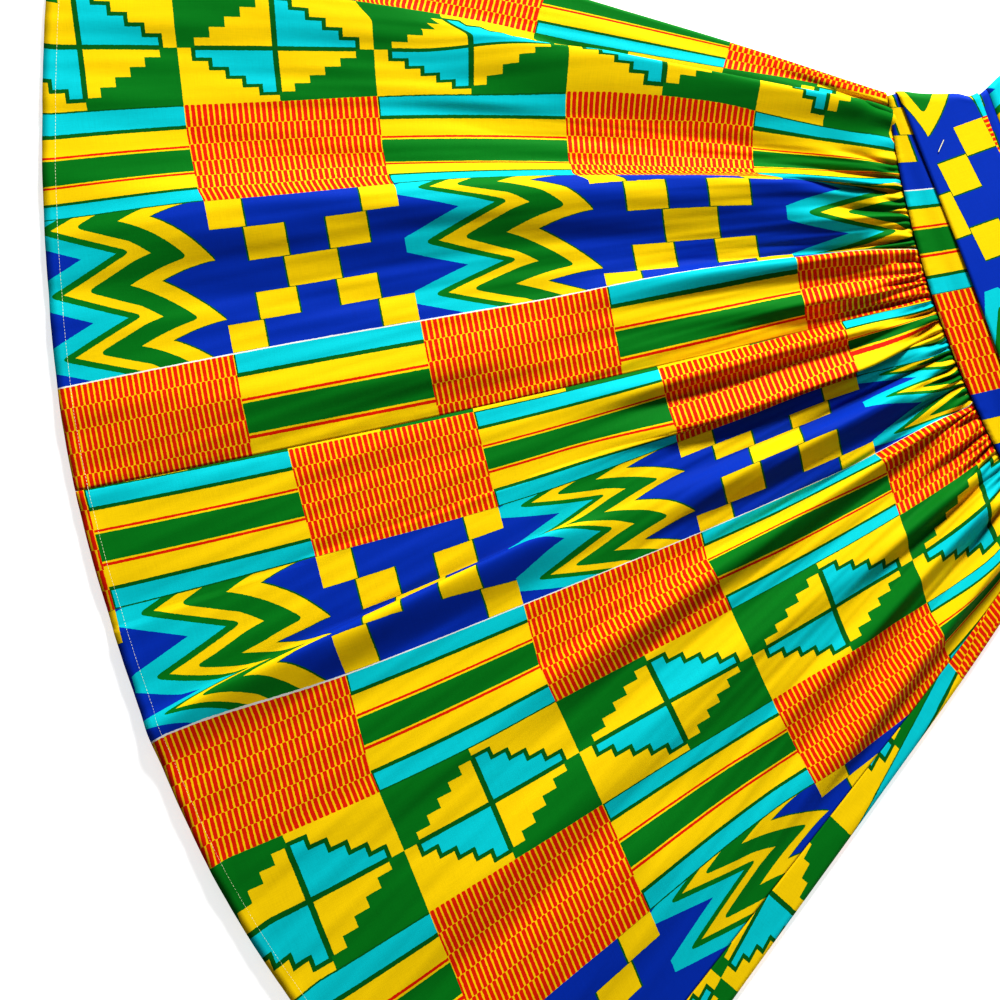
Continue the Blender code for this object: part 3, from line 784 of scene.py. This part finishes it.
# ---------------------------------------------------------------- stitches, laid by a node tree
def stitch_tree():
    """Geometry nodes: short bars of thread at an even pitch along an edge path."""
    tree = bpy.data.node_groups.new("Stitch line", "GeometryNodeTree")
    tree.interface.new_socket("Geometry", in_out="INPUT", socket_type="NodeSocketGeometry")
    for name, kind in (("Pitch", "Float"), ("Length", "Float"), ("Radius", "Float"), ("Seed", "Int"),
                       ("Material", "Material")):
        tree.interface.new_socket(name, in_out="INPUT", socket_type="NodeSocket" + kind)
    tree.interface.new_socket("Geometry", in_out="OUTPUT", socket_type="NodeSocketGeometry")
    nodes, links = tree.nodes, tree.links
    start, end = nodes.new("NodeGroupInput"), nodes.new("NodeGroupOutput")
    curve = nodes.new("GeometryNodeMeshToCurve")
    points = nodes.new("GeometryNodeCurveToPoints")
    points.mode = "LENGTH"
    bar = nodes.new("GeometryNodeMeshCylinder")
    bar.inputs["Vertices"].default_value = 6
    turn = nodes.new("FunctionNodeAlignRotationToVector")
    turn.axis = "Z"
    jitter = nodes.new("FunctionNodeRandomValue")
    jitter.data_type = "FLOAT"
    jitter.inputs[2].default_value, jitter.inputs[3].default_value = 0.85, 1.12
    size = nodes.new("ShaderNodeCombineXYZ")
    size.inputs[0].default_value = size.inputs[1].default_value = 1.0
    place = nodes.new("GeometryNodeInstanceOnPoints")
    real = nodes.new("GeometryNodeRealizeInstances")
    coat = nodes.new("GeometryNodeSetMaterial")
    links.new(start.outputs["Geometry"], curve.inputs["Mesh"])
    links.new(curve.outputs[0], points.inputs["Curve"])
    links.new(start.outputs["Pitch"], points.inputs["Length"])
    links.new(start.outputs["Radius"], bar.inputs["Radius"])
    links.new(start.outputs["Length"], bar.inputs["Depth"])
    links.new(points.outputs["Points"], place.inputs["Points"])
    links.new(bar.outputs["Mesh"], place.inputs["Instance"])
    links.new(points.outputs["Tangent"], turn.inputs["Vector"])
    links.new(turn.outputs[0], place.inputs["Rotation"])
    links.new(start.outputs["Seed"], jitter.inputs["Seed"])
    links.new(jitter.outputs[1], size.inputs[2])
    links.new(size.outputs[0], place.inputs["Scale"])
    links.new(place.outputs[0], real.inputs[0])
    links.new(real.outputs[0], coat.inputs["Geometry"])
    links.new(start.outputs["Material"], coat.inputs["Material"])
    links.new(coat.outputs[0], end.inputs["Geometry"])
    return tree


def stitched(name, paths, material, pitch, length, radius):
    """Runs the stitch tree on some paths and keeps its plain mesh."""
    mesh = bpy.data.meshes.new(name)
    verts, edges = [], []
    for path in paths:
        k = len(verts)
        verts += [tuple(p) for p in np.asarray(path) + np.array((SHIFT_X, SHIFT_Y, 0.0))]
        edges += [(k + i, k + i + 1) for i in range(len(path) - 1)]
    mesh.from_pydata(verts, edges, [])
    guide = bpy.data.objects.new(name + "_guide", mesh)
    bpy.context.scene.collection.objects.link(guide)
    tree = stitch_tree()
    layer = guide.modifiers.new("stitches", "NODES")
    layer.node_group = tree
    values = {"Pitch": pitch, "Length": length, "Radius": radius, "Seed": 7, "Material": material}
    for item in tree.interface.items_tree:
        if item.item_type == "SOCKET" and item.in_out == "INPUT" and item.name in values:
            layer[item.identifier] = values[item.name]
    seen = guide.evaluated_get(bpy.context.evaluated_depsgraph_get())
    result = bpy.data.meshes.new_from_object(seen)
    result.name = name
    guide.modifiers.remove(layer)
    bpy.data.objects.remove(guide, do_unlink=True)
    piece = bpy.data.objects.new(name, result)
    bpy.context.scene.collection.objects.link(piece)
    if not result.materials:
        result.materials.append(material)
    if len(result.polygons) < 12:
        raise RuntimeError(name + " came out empty")
    return piece


def hem_path(first):
    """The line of stitches along a front panel's hem, half sunk in the cloth."""
    low, high = (-36.9, SEAM_HEM - 0.05) if first else (SEAM_HEM + 0.05, 33.1)
    angle = np.linspace(low, high, 260)
    hem = table(HEM, angle)
    f = TURNED_UP / (hem - waist_r(angle))
    edge = (angle + 37.0) if first else (35.5 - BACK_WRAP - angle)
    points, _ = front_point(angle, f, np.maximum(edge, 0.0))
    points[:, 2] += CLOTH / 2 + 0.00005
    return points


# ---------------------------------------------------------------- the add-on
def ink(name, description, default):
    return FloatVectorProperty(name=name, description=description, subtype="COLOR_GAMMA", default=default)


class DressLook(bpy.types.PropertyGroup):
    """Sizes and colours of the dress."""

    columns: IntProperty(name="Columns", description="Faces across the left front panel", default=210, min=40)
    rows: IntProperty(name="Rows", description="Faces down a skirt panel", default=130, min=30)
    roughness: FloatProperty(name="Roughness", description="Roughness of the cotton", default=0.66, min=0,
                             max=1)
    sheen: FloatProperty(name="Sheen", description="Soft sheen of the cotton", default=0.02, min=0, max=1)
    stitch: FloatProperty(name="Stitch pitch", description="From one stitch to the next", default=0.0027,
                          unit="LENGTH", min=0.001)
    yellow: ink("Yellow", "Yellow ink", (1.0, 0.84, 0.0))
    green: ink("Green", "Green ink", (0.0, 0.475, 0.11))
    deep: ink("Deep green", "Outline ink", (0.0, 0.39, 0.10))
    cyan: ink("Cyan", "Cyan ink", (0.0, 0.80, 0.835))
    blue: ink("Blue", "Blue ink", (0.0, 0.21, 0.69))
    red: ink("Red", "Red ink", (0.90, 0.13, 0.0))
    white: ink("White", "Cloth left bare", (0.96, 0.96, 0.94))
    thread: ink("Thread", "Hem thread", (0.98, 0.96, 0.82))


def dress_cotton(scene):
    """The one printed cotton that all pieces are cut from."""
    look = scene.dress_look
    found = bpy.data.materials.get("printed_cotton")
    if found is None:
        inks = [linear(getattr(look, name)) for name in INKS]
        found = cotton("printed_cotton", look, (print_group(inks), weave_group()))
    return found


def settle(piece, node, material):
    """What every cloth piece needs: its material, its body and its solid."""
    piece.data.materials.clear()
    piece.data.materials.append(material)
    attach(piece, "root")
    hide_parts(node)


class DRESS_OT_skirt(bpy.types.Operator):
    """Adds the front and back panels of the skirt"""

    bl_idname = "dress.skirt"
    bl_label = "Skirt"

    def execute(self, context):
        look = context.scene.dress_look
        cloth = dress_cotton(context.scene)
        back = skirt_back("back_panel", 150, 60)
        settle(back, "skirt_back", cloth)
        left = skirt_front("left_front_panel", True, look.columns, look.rows)
        settle(left, "skirt_front_left", cloth)
        right = skirt_front("right_front_panel", False, int(look.columns * 1.32), look.rows)
        settle(right, "skirt_front_right", cloth)
        return {"FINISHED"}


class DRESS_OT_waist(bpy.types.Operator):
    """Adds the waistband, front and back, and the belt round it"""

    bl_idname = "dress.waist"
    bl_label = "Waistband and belt"

    def execute(self, context):
        cloth = dress_cotton(context.scene)
        front = waistband("front_band", True)
        settle(front, "waistband_front", cloth)
        back = waistband("back_band", False)
        settle(back, "waistband_back", cloth)
        strip = belt("belt_strip")
        settle(strip, "belt", cloth)
        return {"FINISHED"}


class DRESS_OT_bodice(bpy.types.Operator):
    """Adds the front and back of the bodice"""

    bl_idname = "dress.bodice"
    bl_label = "Bodice"

    def execute(self, context):
        cloth = dress_cotton(context.scene)
        back = bodice("back_bodice", False, NECK_BACK)
        settle(back, "bodice_back", cloth)
        front = bodice("front_bodice", True, NECK_FRONT)
        settle(front, "bodice_front", cloth)
        return {"FINISHED"}


class DRESS_OT_stitches(bpy.types.Operator):
    """Adds the line of stitches along the hem and the tack in the belt"""

    bl_idname = "dress.stitches"
    bl_label = "Stitches"

    def execute(self, context):
        look = context.scene.dress_look
        thread = plain_material("hem_thread", linear(look.thread), 0.7)
        hem = stitched("hem_stitches", [hem_path(True), hem_path(False)], thread, look.stitch,
                       look.stitch * 0.68, 0.00026)
        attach(hem, "root")
        x, y = np.linspace(-0.1341, -0.1399, 5), np.linspace(0.0162, 0.0218, 5)
        top = FLOOR_MID + 2 * (TUBE + LAP) + BULGE * (1 - (x / table(BODY, y)) ** 2) ** 2 + 0.0008
        tack = stitched("belt_tack", [np.stack((x, y, top), -1)], thread, 0.002, 0.0022, 0.0004)
        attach(tack, "root")
        return {"FINISHED"}


class DRESS_OT_stage(bpy.types.Operator):
    """Adds the white surface, the lamps and the camera"""

    bl_idname = "dress.stage"
    bl_label = "Stage"

    def execute(self, context):
        scene = context.scene
        bpy.ops.mesh.primitive_plane_add(size=9.0, location=(0, 0, -0.0006))
        floor = context.object
        floor.name = "white_surface"
        card = plain_material("white_card", (0.90, 0.90, 0.90, 1), 0.9)
        glow = card.node_tree.nodes["Principled BSDF"].inputs
        glow["Emission Color"].default_value = (1, 1, 1, 1)
        glow["Emission Strength"].default_value = 0.57
        floor.data.materials.append(card)
        world = bpy.data.worlds.new("studio")
        world.use_nodes = True
        sky = world.node_tree.nodes["Background"].inputs
        sky[0].default_value = (1.0, 1.0, 1.0, 1)
        sky[1].default_value = 0.12
        scene.world = world
        turn = math.radians(VIEW_TURN)
        right = np.array((math.cos(turn), math.sin(turn), 0.0))
        up = np.array((-math.sin(turn), math.cos(turn), 0.0))
        middle = np.array((VIEW_X + SHIFT_X, VIEW_Y + SHIFT_Y, 0.0))
        for name, side, rise, height, size, power in LAMPS:
            lamp = bpy.data.lights.new(name, "AREA")
            lamp.shape = "DISK"
            lamp.size = size
            lamp.energy = power
            holder = bpy.data.objects.new(name, lamp)
            scene.collection.objects.link(holder)
            place = middle + right * side + up * rise + np.array((0, 0, height))
            holder.location = place
            way = middle - place
            holder.rotation_euler = Vector(way).to_track_quat("-Z", "Y").to_euler()
        lens = bpy.data.cameras.new("camera")
        lens.lens = LENS
        lens.sensor_width = SENSOR
        camera = bpy.data.objects.new("camera", lens)
        scene.collection.objects.link(camera)
        camera.location = (middle[0], middle[1], VIEW_WIDTH * LENS / SENSOR + 0.008)
        camera.rotation_euler = (0.0, 0.0, turn)
        scene.camera = camera
        scene.view_settings.view_transform = "Standard"
        scene.view_settings.look = "Medium High Contrast"
        return {"FINISHED"}


class DRESS_PT_panel(bpy.types.Panel):
    """The dress's panel in the sidebar"""

    bl_idname = "DRESS_PT_panel"
    bl_label = "Wax Print Dress"
    bl_space_type = "VIEW_3D"
    bl_region_type = "UI"
    bl_category = "Dress"

    def draw(self, context):
        look = context.scene.dress_look
        for name in DressLook.__annotations__:
            self.layout.prop(look, name)
        for step in STEPS:
            self.layout.operator(step.bl_idname)


STEPS = (DRESS_OT_skirt, DRESS_OT_waist, DRESS_OT_bodice, DRESS_OT_stitches, DRESS_OT_stage)
CLASSES = (DressLook, *STEPS, DRESS_PT_panel)


def register():
    for item in CLASSES:
        bpy.utils.register_class(item)
    bpy.types.Scene.dress_look = PointerProperty(type=DressLook)


def unregister():
    del bpy.types.Scene.dress_look
    for item in reversed(CLASSES):
        bpy.utils.unregister_class(item)


def main():
    register()
    bpy.ops.dress.skirt()
    bpy.ops.dress.waist()
    bpy.ops.dress.bodice()
    bpy.ops.dress.stitches()
    bpy.ops.dress.stage()


if __name__ == "__main__":
    main()
